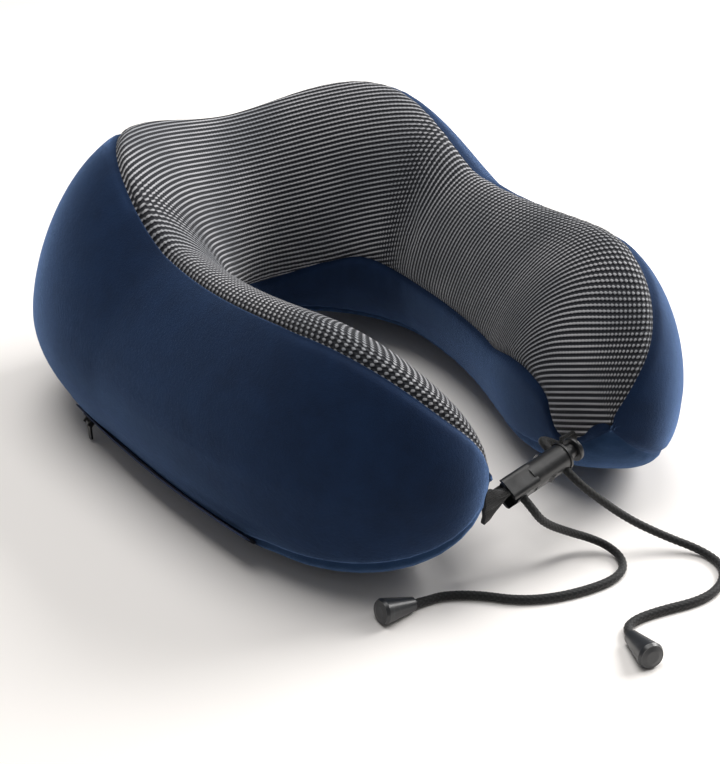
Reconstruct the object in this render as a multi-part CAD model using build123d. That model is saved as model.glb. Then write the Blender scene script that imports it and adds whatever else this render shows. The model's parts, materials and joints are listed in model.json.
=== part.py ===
"""U-shaped neck pillow: foam core, zipped four-panel cover, drawcord clasp and cords.

Frame: the open side of the U faces -Y, +X is to the right when looking at that side,
+Z is up and the pillow stands on Z = 0. Left is -X and right is +X.
All sizes are in millimetres and all angles in degrees.
"""
from build123d import *
import math
import os

# ---- centre line of the U: two half ellipses that share one width ----
CENTRE_HALF_WIDTH = 96.0
CENTRE_BACK_DEPTH = 100.0
CENTRE_FRONT_DEPTH = 188.0
ARM_TURN = 158.0  # angle from the middle of the back to the end of an arm

# ---- cross-section, at five stations from the middle of the back to an arm's end ----
STATIONS = [0.0, 0.33, 0.59, 0.83, 1.0]
OUTER_THICKNESS = [28.0, 64.5, 44.5, 44.5, 46.5]
INNER_THICKNESS = [35.5, 48.0, 47.5, 47.5, 43.5]
CREST_HEIGHT = [131.5, 143.5, 110.5, 119.0, 116.0]
UNDERSIDE_HEIGHT = [5.0, 2.0, -1.0, -1.0, -1.0]  # below zero is trimmed to a flat base
CREST_LEAN = [6.0, 8.0, -6.5, 7.0, 18.0]
INNER_SQUARENESS = 0.05  # added on the inner side
BASE_SQUARENESS = [0.88, 0.96, 0.885, 0.61, 0.74]
OUTER_SEAM_ANGLE = [52.5, 81.5, 76.0, 70.5, 64.0]  # velour to mesh, outside
INNER_SEAM_ANGLE = [191.0, 172.0, 175.0, 176.0, 188.0]  # mesh to velour, inside
WIDEST_HEIGHT = 52.0
CREST_ROUNDNESS = 1.29
# Round the tip both seams turn down to the mesh panel's corner: shifts in degrees against
# how far the tip has rounded off, from 0 where it starts to 90 at its end.
TIP_SEAM_PLACES = [0.0, 14.0, 28.0, 40.0, 46.0, 52.0, 60.0, 70.0, 78.0, 84.0, 90.0]
OUTER_SEAM_SHIFT = [0.0, 2.0, 4.0, 5.0, 5.0, 6.0, 9.0, 17.0, 34.0, 58.0, 70.0]
INNER_SEAM_SHIFT = [0.0, -7.0, -11.0, -10.0, 0.0, 20.0, 21.0, 18.0, -10.0, -42.0, -60.0]
TIP_START = 0.775  # where an arm starts to round off, as a share of its turn
TIP_LAST_ANGLE = 83.0  # how far the rounding goes before the small end cap
TIP_STEPS = 9
ARM_STEPS = 12

# ---- cover ----
SKIN = 2.2
FOAM_GAP = 0.8
BASE_SKIN = 2.6
BASE_SEAM_HEIGHT = 14.0

# ---- zipper, along the base seam of the left arm ----
ZIP_FROM = 0.47  # share of the arm's turn at the closed end
ZIP_TO = 0.77
ZIP_TILT = 46.0  # lean of the zipper band from horizontal
TAPE_WIDTH = 6.0
TAPE_THICKNESS = 0.6
TEETH_WIDTH = 1.6
TEETH_HEIGHT = 1.4
WEDGE_WIDTH = 0.8
WEDGE_PLAY = 0.2
CHANNEL_DEPTH = 4.0
SLIDER_LENGTH = 8.0
SLIDER_WIDTH = 6.4
SLIDER_PLATE = 1.0
SLIDER_PLAY = 0.25
SLIDER_END_MARGIN = 7.0
STOP_LENGTH = 2.5
PULL_PIN_RADIUS = 0.7
PULL_BOSS_RADIUS = 1.5
PULL_LENGTH = 10.5
PULL_WIDTH = 3.6
PULL_THICKNESS = 1.1
PULL_PLAY = 0.2

# ---- clasp ----
CLASP_OFFSET = (-2.5, 1.7, -7.9)  # its middle, from the middle between the arm ends
CLASP_YAW = 5.0
CLASP_PITCH = 7.5
CLASP_ROLL = 30.0
CLASP_MIDDLE = 9.0  # from the parting face to the clasp's middle
PLUG_LENGTH = 16.0
PLUG_SIDE = 11.6
PLUG_CORNER = 2.6
PLUG_RIM = 1.6
BAR_RADIUS = 1.0
BAR_SETBACK = 2.0
SLOT_LENGTH = 4.0
SLOT_HEIGHT = 8.4
PLUG_CORD_HOLE = 9.4  # from the parting face
SOCKET_LENGTH = 21.0
SOCKET_RADIUS = 6.3
SOCKET_RIM = 0.5
RIM_WIDTH = 1.1
LATCH_BORE_RADIUS = 5.0
LATCH_BORE_DEPTH = 10.6
LOCK_BORE_RADIUS = 4.3
WEB_THICKNESS = 1.0
SOCKET_CORD_HOLE = 17.6
CORD_RADIUS = 2.0
CORD_HOLE_PLAY = 0.25
PRONG_LENGTH = 9.5
PRONG_HEIGHT = 1.6
PRONG_WIDTH = 4.4
PRONG_OFFSET = 3.4  # from the clasp's axis to the prong's middle
PRONG_GAP = 0.5  # between the plug's front and the prong's root
HEAD_LENGTH = 4.2
HEAD_RAMP = 3.0
HEAD_RISE = 2.6
WINDOW_PLAY = 0.3
BUTTON_STEM_RADIUS = 3.6
BUTTON_NECK = 6.0
BUTTON_FLANGE_RADIUS = 5.8
BUTTON_FLANGE = 2.4
BUTTON_DOME = 1.2
BUTTON_TRAVEL = 1.5
BUTTON_PLAY = 0.1
PLUNGER_WALL = 0.9
SPRING_WIRE_RADIUS = 0.25
SPRING_RADIUS = 2.6
SPRING_TURNS = 2.5

# ---- webbing tabs in the arm ends ----
TAB_THICKNESS = 0.8
TAB_PLAY = 0.1
TAB_SEWN_HEIGHT = 17.0
TAB_LOOP_HEIGHT = 7.6
TAB_REACH = 16.0  # before the pillow's end cuts it short
ANCHOR_TAB_HEIGHT = 12.0
ANCHOR_TAB_REACH = 12.0

# ---- cords and their bell-shaped ends ----
BELL_LENGTH = 17.0
BELL_SMALL_RADIUS = 3.2
BELL_LARGE_RADIUS = 5.9
BELL_WALL = 1.2
BELL_PLUG = 2.2
CORD_INTO_BELL = 3.0

# ---- routes of the cords, from their held ends to their bells ----
CORD_LEFT = [
    (-20.7, -147.8, 41.7),
    (-19.1, -157.2, 36.2),
    (-11.8, -158.1, 25.0),
    (6.5, -157.8, 12.0),
    (15.5, -160.1, 7.0),
    (22.0, -166.1, 3.5),
    (22.5, -175.1, 2.0),
    (16.5, -182.6, 2.0),
    (6.5, -185.1, 2.0),
    (-9.0, -183.1, 2.0),
    (-24.0, -178.6, 2.0),
    (-37.0, -171.1, 2.0),
    (-48.0, -159.1, 2.0),
    (-60.5, -150.6, 2.0),
    (-70.0, -149.1, 2.17),
    (-79.5, -148.6, 3.68),
]
CORD_RIGHT = [
    (22.5, -130.5, 38.5),
    (16.5, -129.2, 42.5),
    (9.8, -131.0, 46.8),
    (4.5, -136.4, 50.4),
    (7.5, -154.9, 39.8),
    (15.3, -160.6, 31.0),
    (31.0, -168.6, 16.0),
    (45.0, -179.6, 7.0),
    (56.5, -192.1, 2.0),
    (56.0, -206.1, 2.0),
    (45.0, -215.1, 2.0),
    (30.0, -217.6, 2.0),
    (8.0, -211.6, 2.0),
    (-5.0, -210.1, 2.0),
    (-13.0, -213.6, 2.44),
    (-15.0, -221.1, 3.68),
]


def along(s, values):
    """Smooth value at s between the stations; level at the middle of the back."""
    last = len(STATIONS) - 1
    gaps = [STATIONS[i + 1] - STATIONS[i] for i in range(last)]
    rises = [(values[i + 1] - values[i]) / gaps[i] for i in range(last)]
    slopes = [0.0]
    for i in range(1, last):
        slopes.append((rises[i - 1] * gaps[i] + rises[i] * gaps[i - 1]) / (gaps[i - 1] + gaps[i]))
    slopes.append(rises[-1])
    i = max(k for k in range(last) if s >= STATIONS[k])
    u = (s - STATIONS[i]) / gaps[i]
    start = (2 * u**3 - 3 * u**2 + 1) * values[i] + (u**3 - 2 * u**2 + u) * gaps[i] * slopes[i]
    end = (3 * u**2 - 2 * u**3) * values[i + 1] + (u**3 - u**2) * gaps[i] * slopes[i + 1]
    return start + end


def signed_power(value, power):
    return math.copysign(abs(value) ** power, value)


def tip_scale(s):
    """1 along the arm, falling on a quarter round to nothing at its end."""
    t = max(0.0, (s - TIP_START) / (1 - TIP_START))
    return math.sqrt(max(0.0, 1 - t * t))


def centre_and_normal(s):
    """Point of the U's centre line on the +X side, and its outward direction."""
    turn = math.radians(ARM_TURN * s)
    depth = CENTRE_BACK_DEPTH if math.cos(turn) > 0 else CENTRE_FRONT_DEPTH
    centre = (CENTRE_HALF_WIDTH * math.sin(turn), depth * math.cos(turn))
    normal = (depth * math.sin(turn), CENTRE_HALF_WIDTH * math.cos(turn))
    size = math.hypot(*normal)
    return centre, (normal[0] / size, normal[1] / size)


def skin_point(s, angle, inset=0.0, side=1):
    """Point on the skin: angle 0 outward, 90 crest, 180 inward, 270 underside."""
    scale = tip_scale(s)
    up = (along(s, CREST_HEIGHT) - WIDEST_HEIGHT) * scale - inset
    down = (WIDEST_HEIGHT - along(s, UNDERSIDE_HEIGHT)) * scale - inset
    c = math.cos(math.radians(angle))
    half = along(s, OUTER_THICKNESS if c > 0 else INNER_THICKNESS) * scale - inset
    k = math.sin(math.radians(angle))
    if k > 0:
        rise = up * abs(k) ** CREST_ROUNDNESS
        lean = along(s, CREST_LEAN) * scale * (rise / up) ** 1.5
        across = half * signed_power(c, CREST_ROUNDNESS) + lean
    else:
        power = along(s, BASE_SQUARENESS) + (0.0 if c > 0 else INNER_SQUARENESS)
        rise = -down * abs(k) ** power
        across = half * signed_power(c, power)
    centre, normal = centre_and_normal(s)
    x = centre[0] + normal[0] * across
    y = centre[1] + normal[1] * across
    return Vector(side * x, y, WIDEST_HEIGHT + rise)


# ---- the four seams of the cover, as angles round the section ----
def angle_to_base_seam(s, power):
    """Angle below the widest line at which the section reaches the base seam."""
    share = (WIDEST_HEIGHT - BASE_SEAM_HEIGHT) / (WIDEST_HEIGHT - along(s, UNDERSIDE_HEIGHT))
    return math.degrees(math.asin(share ** (1 / power)))


def base_seam_outside(s):
    return -angle_to_base_seam(s, along(s, BASE_SQUARENESS))


def tip_shift(s, shifts):
    """How far a seam wanders from its smooth line while it goes round the tip, in degrees."""
    rounding = math.degrees(math.asin(min(1.0, max(0.0, (s - TIP_START) / (1 - TIP_START)))))
    for i in range(len(TIP_SEAM_PLACES) - 1):
        low, high = TIP_SEAM_PLACES[i], TIP_SEAM_PLACES[i + 1]
        if rounding <= high:
            return shifts[i] + (shifts[i + 1] - shifts[i]) * (rounding - low) / (high - low)
    return shifts[-1]


def outer_seam(s):
    return along(s, OUTER_SEAM_ANGLE) + tip_shift(s, OUTER_SEAM_SHIFT)


def inner_seam(s):
    return along(s, INNER_SEAM_ANGLE) + tip_shift(s, INNER_SEAM_SHIFT)


def base_seam_inside(s):
    return 180 + angle_to_base_seam(s, along(s, BASE_SQUARENESS) + INNER_SQUARENESS)


def base_seam_outside_again(s):
    return 360 + base_seam_outside(s)


def arm_shares():
    """Shares of the turn at which sections are taken, closer together round the tip."""
    arm = [TIP_START * i / ARM_STEPS for i in range(ARM_STEPS)]
    steps = [TIP_LAST_ANGLE * i / TIP_STEPS for i in range(TIP_STEPS + 1)]
    tip = [TIP_START + (1 - TIP_START) * math.sin(math.radians(a)) for a in steps]
    return arm + tip


def both_arms():
    """(share, side) of every section, from the -X arm's end to the +X arm's end."""
    shares = arm_shares()
    return [(s, -1) for s in reversed(shares)] + [(s, 1) for s in shares[1:]]


def body_solid(inset):
    """The whole U as one solid, a given distance inside the skin."""
    angles = [15 * i for i in range(24)]
    wires = []
    for s, side in both_arms():
        points = [skin_point(s, a, inset, side) for a in angles]
        wires.append(Wire([Edge.make_spline(points, periodic=True)]))
    return Solid.make_loft(wires, ruled=True)


def panel(first_angle, last_angle, thickness, steps):
    """A cover panel between two seams, whose angles are functions of the share."""
    wires = []
    for s, side in both_arms():
        low, high = first_angle(s), last_angle(s)
        angles = [low + (high - low) * i / steps for i in range(steps + 1)]
        outer = [skin_point(s, a, 0.0, side) for a in angles]
        inner = [skin_point(s, a, thickness, side) for a in reversed(angles)]
        edges = [
            Edge.make_spline(outer),
            Edge.make_line(outer[-1], inner[0]),
            Edge.make_spline(inner),
            Edge.make_line(inner[-1], outer[0]),
        ]
        wires.append(Wire(edges))
    return Solid.make_loft(wires, ruled=True)


def base_panel():
    """The underside, cut flat where it stands on the floor."""
    blank = panel(base_seam_inside, base_seam_outside_again, BASE_SKIN, 8)
    reach = 4 * (CENTRE_HALF_WIDTH + CENTRE_FRONT_DEPTH)
    return blank & Pos(0, 0, reach / 2) * Box(reach, reach, reach)


# ---- zipper frame: a circle through three points of the left arm's base seam ----
def seam_point(s):
    return skin_point(s, base_seam_outside(s), 0.0, -1)


def circle_through(a, b, c):
    """Centre and radius, in plan, of the circle through three points."""
    d = 2 * (a.X * (b.Y - c.Y) + b.X * (c.Y - a.Y) + c.X * (a.Y - b.Y))
    aa, bb, cc = (p.X**2 + p.Y**2 for p in (a, b, c))
    x = (aa * (b.Y - c.Y) + bb * (c.Y - a.Y) + cc * (a.Y - b.Y)) / d
    y = (aa * (c.X - b.X) + bb * (a.X - c.X) + cc * (b.X - a.X)) / d
    return Vector(x, y, 0), math.hypot(a.X - x, a.Y - y)


ZIP_MIDDLE = (ZIP_FROM + ZIP_TO) / 2
ZIP_ENDS = [seam_point(ZIP_FROM), seam_point(ZIP_MIDDLE), seam_point(ZIP_TO)]
ZIP_CENTRE, ZIP_RADIUS = circle_through(*ZIP_ENDS)
ZIP_START_ANGLE = math.degrees(math.atan2(ZIP_ENDS[0].Y - ZIP_CENTRE.Y, ZIP_ENDS[0].X - ZIP_CENTRE.X)) % 360
ZIP_END_ANGLE = math.degrees(math.atan2(ZIP_ENDS[2].Y - ZIP_CENTRE.Y, ZIP_ENDS[2].X - ZIP_CENTRE.X)) % 360
END_MARGIN_ANGLE = math.degrees(SLIDER_END_MARGIN / ZIP_RADIUS)


def on_zipper(shape, degrees):
    """Place a shape made at the band's own frame (X outward, Y along, Z up the band)."""
    place = Pos(ZIP_CENTRE.X, ZIP_CENTRE.Y, BASE_SEAM_HEIGHT) * Rot(0, 0, degrees)
    return place * Pos(ZIP_RADIUS, 0, 0) * Rot(0, 90 - ZIP_TILT, 0) * shape


def zipper_ring(x_low, x_high, z_low, z_high, from_degrees, to_degrees):
    """A bent strip of rectangular section, swept round the zipper's circle."""
    outline = Pos((x_low + x_high) / 2, 0, (z_low + z_high) / 2) * Rot(90, 0, 0) * Rectangle(
        x_high - x_low, z_high - z_low
    )
    placed = on_zipper(outline, from_degrees)
    axis = Axis((ZIP_CENTRE.X, ZIP_CENTRE.Y, 0), (0, 0, 1))
    return revolve(placed, axis, to_degrees - from_degrees)


def zipper_channel():
    """The strip of cover and foam that the zipper takes the place of."""
    half = TAPE_WIDTH + TEETH_WIDTH + WEDGE_WIDTH / 2 + WEDGE_PLAY
    low, high = ZIP_START_ANGLE, ZIP_END_ANGLE
    return zipper_ring(-CHANNEL_DEPTH, 2 * CHANNEL_DEPTH, -half, half, low, high)


def zipper_tape(direction):
    """One tape, from the teeth's outer side to the cut edge of the cover."""
    near = WEDGE_WIDTH / 2 + WEDGE_PLAY + TEETH_WIDTH
    far = near + TAPE_WIDTH
    low, high = sorted((direction * near, direction * far))
    return zipper_ring(-TAPE_THICKNESS, 0, low, high, ZIP_START_ANGLE, ZIP_END_ANGLE)


def zipper_teeth(direction):
    """One row of teeth, as a plain strip on its tape's edge."""
    near = WEDGE_WIDTH / 2 + WEDGE_PLAY
    low, high = sorted((direction * near, direction * (near + TEETH_WIDTH)))
    middle = -TAPE_THICKNESS / 2
    stop = math.degrees(STOP_LENGTH / ZIP_RADIUS)
    first, last = ZIP_START_ANGLE + stop, ZIP_END_ANGLE - stop
    return zipper_ring(middle - TEETH_HEIGHT / 2, middle + TEETH_HEIGHT / 2, low, high, first, last)


def zipper_stops():
    """A clamp across both rows at each end of the zipper."""
    half = WEDGE_WIDTH / 2 + WEDGE_PLAY + TEETH_WIDTH
    middle = -TAPE_THICKNESS / 2
    low, high = middle - TEETH_HEIGHT / 2, middle + TEETH_HEIGHT / 2
    stop = math.degrees(STOP_LENGTH / ZIP_RADIUS)
    first = zipper_ring(low, high, -half, half, ZIP_START_ANGLE, ZIP_START_ANGLE + stop)
    last = zipper_ring(low, high, -half, half, ZIP_END_ANGLE - stop, ZIP_END_ANGLE)
    return Compound([first.solid(), last.solid()])


SLIDER_REST = ZIP_START_ANGLE + END_MARGIN_ANGLE
SLIDER_LIMIT = ZIP_END_ANGLE - END_MARGIN_ANGLE
PULL_PIVOT_OUT = TEETH_HEIGHT / 2 + SLIDER_PLAY + SLIDER_PLATE + PULL_BOSS_RADIUS


def zipper_slider():
    """Two plates joined by a thin wedge between the rows, with a bridge for the pull."""
    middle = -TAPE_THICKNESS / 2
    inside = TEETH_HEIGHT / 2 + SLIDER_PLAY
    plate = Box(SLIDER_PLATE, SLIDER_LENGTH, SLIDER_WIDTH)
    outer = Pos(middle + inside + SLIDER_PLATE / 2, 0, 0) * plate
    inner = Pos(middle - inside - SLIDER_PLATE / 2, 0, 0) * plate
    wedge = Pos(middle, 0, 0) * Box(2 * inside + SLIDER_PLATE, SLIDER_LENGTH / 3, WEDGE_WIDTH)
    ear_gap = PULL_WIDTH / 2 + PULL_PLAY
    ear = Box(2 * PULL_BOSS_RADIUS, SLIDER_PLATE, 2 * PULL_BOSS_RADIUS)
    body = outer + inner + wedge
    for side in (-1, 1):
        body += Pos(middle + PULL_PIVOT_OUT, side * (ear_gap + SLIDER_PLATE / 2), 0) * ear
    pin = Pos(middle + PULL_PIVOT_OUT, 0, 0) * Rot(90, 0, 0) * Cylinder(PULL_PIN_RADIUS, 2 * ear_gap)
    return on_zipper(body + pin, SLIDER_REST)


def pull_pivot():
    """World place of the pull's pivot."""
    marker = on_zipper(Pos(-TAPE_THICKNESS / 2 + PULL_PIVOT_OUT, 0, 0) * Box(1, 1, 1), SLIDER_REST)
    return marker.center()


def zipper_pull():
    """A flat tab hanging straight down from an eye on the slider's pin."""
    eye = Rot(90, 0, 0) * Cylinder(PULL_BOSS_RADIUS - PULL_PLAY, PULL_WIDTH)
    tab = Pos(0, 0, -PULL_LENGTH / 2) * Box(PULL_THICKNESS, PULL_WIDTH, PULL_LENGTH)
    tab = fillet(tab.edges().filter_by(Axis.X).group_by(Axis.Z)[0], PULL_WIDTH / 3)
    bore = Rot(90, 0, 0) * Cylinder(PULL_PIN_RADIUS + 0.05, 2 * PULL_WIDTH)
    place = Pos(*pull_pivot()) * Rot(0, 0, SLIDER_REST)
    return place * (eye + tab - bore)


# ---- clasp frame: X along the clasp from the parting face, Z up, Y away from the front ----
def tips_middle():
    centre, _ = centre_and_normal(1.0)
    return Vector(0, centre[1], WIDEST_HEIGHT)


CLASP_TURN = Rot(0, 0, CLASP_YAW) * Rot(0, -CLASP_PITCH, 0) * Rot(CLASP_ROLL, 0, 0)
CLASP_PLACE = Pos(*(tips_middle() + Vector(*CLASP_OFFSET))) * CLASP_TURN * Pos(-CLASP_MIDDLE, 0, 0)


def rod(radius, x_low, x_high):
    """A cylinder along the clasp's axis."""
    return Pos((x_low + x_high) / 2, 0, 0) * Rot(0, 90, 0) * Cylinder(radius, x_high - x_low)


def cord_hole(x, radius):
    return Pos(x, 0, 0) * Rot(90, 0, 0) * Cylinder(radius, 4 * SOCKET_RADIUS)


def clasp_plug():
    """Square-shouldered half with a tab bar at its rear and a cord hole across."""
    block = Pos(-PLUG_LENGTH / 2, 0, 0) * Box(PLUG_LENGTH, PLUG_SIDE, PLUG_SIDE)
    block = fillet(block.edges().filter_by(Axis.X), PLUG_CORNER)
    slot = Pos(-PLUG_LENGTH + SLOT_LENGTH / 2, 0, 0) * Box(SLOT_LENGTH, 2 * PLUG_SIDE, SLOT_HEIGHT)
    bar = Pos(-PLUG_LENGTH + BAR_SETBACK, 0, 0) * Cylinder(BAR_RADIUS, SLOT_HEIGHT)
    body = block + rod(SOCKET_RADIUS, -PLUG_RIM, 0) - slot + bar
    body -= cord_hole(-PLUG_CORD_HOLE, CORD_RADIUS + CORD_HOLE_PLAY)
    return CLASP_PLACE * body


PRONG_TIP = PRONG_GAP + PRONG_LENGTH


def release_prong(side):
    """A springy prong whose ramped head stands in the barrel's window."""
    low = PRONG_OFFSET - PRONG_HEIGHT / 2
    high = PRONG_OFFSET + PRONG_HEIGHT / 2
    outline = Polyline(
        (PRONG_GAP, side * low),
        (PRONG_GAP, side * high),
        (PRONG_TIP - HEAD_LENGTH, side * high),
        (PRONG_TIP - HEAD_LENGTH + HEAD_RAMP, side * (high + HEAD_RISE)),
        (PRONG_TIP - 0.3, side * (high + HEAD_RISE * 0.8)),
        (PRONG_TIP, side * high),
        (PRONG_TIP, side * low),
        close=True,
    )
    blank = extrude(make_face(outline), amount=PRONG_WIDTH / 2, both=True)
    return CLASP_PLACE * blank


def clasp_socket():
    """Round barrel: latch bore with two windows, then the lock's bore and cord hole."""
    body = rod(SOCKET_RADIUS, 0, SOCKET_LENGTH)
    body += rod(SOCKET_RADIUS + SOCKET_RIM, SOCKET_LENGTH - RIM_WIDTH, SOCKET_LENGTH)
    body -= rod(LATCH_BORE_RADIUS, 0, LATCH_BORE_DEPTH)
    body -= rod(LOCK_BORE_RADIUS, LATCH_BORE_DEPTH + WEB_THICKNESS, SOCKET_LENGTH)
    first, last = PRONG_TIP - HEAD_LENGTH - WINDOW_PLAY, PRONG_TIP + WINDOW_PLAY
    window = Box(last - first, 4 * SOCKET_RADIUS, PRONG_WIDTH + 2 * WINDOW_PLAY)
    body -= Pos((first + last) / 2, 0, 0) * window
    body -= cord_hole(SOCKET_CORD_HOLE, CORD_RADIUS + CORD_HOLE_PLAY)
    return CLASP_PLACE * body


PLUNGER_FACE = SOCKET_CORD_HOLE - CORD_RADIUS - CORD_HOLE_PLAY - PLUNGER_WALL
PLUNGER_END = SOCKET_CORD_HOLE + CORD_RADIUS + CORD_HOLE_PLAY + BUTTON_TRAVEL + PLUNGER_WALL


def lock_button():
    """Sprung plunger with a cross slot for the cord, a neck and a round flange."""
    neck_end = SOCKET_LENGTH + BUTTON_NECK
    body = rod(LOCK_BORE_RADIUS - BUTTON_PLAY, PLUNGER_FACE, PLUNGER_END)
    body += rod(BUTTON_STEM_RADIUS, PLUNGER_END, neck_end)
    flange = rod(BUTTON_FLANGE_RADIUS, neck_end, neck_end + BUTTON_FLANGE)
    body += fillet(flange.edges().filter_by(GeomType.CIRCLE), BUTTON_FLANGE / 3)
    dome = rod(BUTTON_STEM_RADIUS, neck_end, neck_end + BUTTON_FLANGE + BUTTON_DOME)
    body += fillet(dome.edges().filter_by(GeomType.CIRCLE).sort_by(SortBy.DISTANCE)[-1], BUTTON_DOME / 2)
    hole = CORD_RADIUS + CORD_HOLE_PLAY
    slot_middle = SOCKET_CORD_HOLE + BUTTON_TRAVEL / 2
    body -= Pos(slot_middle, 0, 0) * Box(BUTTON_TRAVEL, 4 * SOCKET_RADIUS, 2 * hole)
    for x in (SOCKET_CORD_HOLE, SOCKET_CORD_HOLE + BUTTON_TRAVEL):
        body -= cord_hole(x, hole)
    return CLASP_PLACE * body


def lock_spring():
    """Short compression spring between the barrel's web and the plunger."""
    first = LATCH_BORE_DEPTH + WEB_THICKNESS + SPRING_WIRE_RADIUS
    height = PLUNGER_FACE - SPRING_WIRE_RADIUS - first
    helix = Edge.make_helix(height / SPRING_TURNS, height, SPRING_RADIUS)
    section = Plane(helix @ 0, z_dir=helix % 0) * Circle(SPRING_WIRE_RADIUS)
    return CLASP_PLACE * Pos(first, 0, 0) * Rot(0, 90, 0) * sweep(section, path=helix)


# ---- webbing tabs ----
def tip_tab_left(pillow):
    """Folded webbing from the left arm's end round the plug's bar."""
    bore = BAR_RADIUS + TAB_PLAY
    loop = Cylinder(bore + TAB_THICKNESS, TAB_LOOP_HEIGHT)
    outline = Polyline(
        (0, -TAB_LOOP_HEIGHT / 2),
        (0, TAB_LOOP_HEIGHT / 2),
        (-BAR_SETBACK - TAB_PLAY, TAB_LOOP_HEIGHT / 2),
        (-TAB_REACH, TAB_SEWN_HEIGHT / 2),
        (-TAB_REACH, -TAB_SEWN_HEIGHT / 2),
        (-BAR_SETBACK - TAB_PLAY, -TAB_LOOP_HEIGHT / 2),
        close=True,
    )
    strap = extrude(Plane.XZ * make_face(outline), amount=TAB_THICKNESS, both=True)
    tab = loop + strap - Cylinder(bore, 2 * TAB_LOOP_HEIGHT)
    placed = CLASP_PLACE * Pos(-PLUG_LENGTH + BAR_SETBACK, 0, 0) * tab
    return placed - pillow


def anchor_tab_right(pillow):
    """Short webbing tab in the right arm's inner side, which holds the cord's sewn end."""
    x, y, z = CORD_RIGHT[0]
    length = ANCHOR_TAB_REACH
    tab = Pos(length / 2, 0, 0) * Box(length, 2 * TAB_THICKNESS, ANCHOR_TAB_HEIGHT)
    return Pos(x, y, z) * tab - pillow


# ---- cords ----
def cord(points, name):
    """A round cord: straight runs joined by arcs as large as the runs allow."""
    places = [Vector(*p) for p in points]
    runs = [places[i + 1] - places[i] for i in range(len(places) - 1)]
    radii = []
    for before, after in zip(runs, runs[1:]):
        half_turn = math.radians(before.get_angle(after)) / 2
        radii.append(0.45 * min(before.length, after.length) / math.tan(half_turn))
    path = FilletPolyline(*places, radius=radii)
    section = Plane(path @ 0, z_dir=path % 0) * Circle(CORD_RADIUS)
    tube = sweep(section, path=path)
    expected = path.length * math.pi * CORD_RADIUS**2
    print(name, "length", round(path.length, 1), "radii", [round(r, 1) for r in radii])
    print(name, "volume over section times length", round(tube.volume / expected, 4))
    return tube


# ---- bell-shaped cord ends ----
def bell_place(points):
    """Frame of a bell lying on its side: origin at its mouth, Z along its axis."""
    end, before = Vector(*points[-1]), Vector(*points[-2])
    heading = Vector(end.X - before.X, end.Y - before.Y, 0).normalized()
    rise = (BELL_LARGE_RADIUS - BELL_SMALL_RADIUS) / BELL_LENGTH
    axis = (heading + Vector(0, 0, rise)).normalized()
    mouth = Vector(end.X, end.Y, 0) - heading * CORD_INTO_BELL + Vector(0, 0, BELL_SMALL_RADIUS)
    return Plane(origin=mouth, z_dir=axis)


def cord_bell(points):
    """Hollow bell with a cord hole at its mouth and an open wide end."""
    seat = BELL_LARGE_RADIUS - BELL_WALL
    shoulder = BELL_LENGTH - 1.2 * BELL_WALL
    outline = Polyline(
        (CORD_RADIUS, 0),
        (BELL_SMALL_RADIUS, 0),
        (BELL_LARGE_RADIUS, shoulder),
        (BELL_LARGE_RADIUS - 0.6 * BELL_WALL, BELL_LENGTH),
        (seat, BELL_LENGTH),
        (seat, BELL_LENGTH - BELL_PLUG),
        (seat - 0.8, BELL_LENGTH - BELL_PLUG),
        (CORD_RADIUS, CORD_INTO_BELL + 1),
        close=True,
    )
    bell = revolve(Plane.XZ * make_face(outline), Axis.Z)
    return bell_place(points) * bell


def bell_plug(points):
    """Slightly domed disc pressed into the bell's wide end."""
    seat = BELL_LARGE_RADIUS - BELL_WALL
    disc = Pos(0, 0, BELL_LENGTH - BELL_PLUG / 2) * Cylinder(seat, BELL_PLUG)
    dome = Pos(0, 0, BELL_LENGTH) * Cone(seat, 0.6 * seat, 0.5, align=(Align.CENTER, Align.CENTER, Align.MIN))
    return bell_place(points) * (disc + dome)


def print_joint_places(shift):
    """Prints the joints' places and directions in the finished frame."""
    clasp = shift * CLASP_PLACE
    print("clasp origin", clasp.position)
    for name, place in (("along", Pos(1, 0, 0)), ("across", Pos(0, 1, 0)), ("up", Pos(0, 0, 1))):
        print("clasp", name, (clasp * place).position - clasp.position)
    for x in (-PLUG_CORD_HOLE, SOCKET_CORD_HOLE):
        for y in (11, 0, -11):
            print("cord hole at", x, y, (clasp * Pos(x, y, 0)).position)
    for side in (-1, 1):
        print("prong root", side, (clasp * Pos(PRONG_GAP, side * PRONG_OFFSET, 0)).position)
    centre = (shift * Pos(*ZIP_CENTRE)).position
    pivot = (shift * Pos(*pull_pivot())).position
    print("zipper centre", centre, "radius", ZIP_RADIUS, "slider", SLIDER_REST, "to", SLIDER_LIMIT)
    print("pull pivot", pivot)


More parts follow.
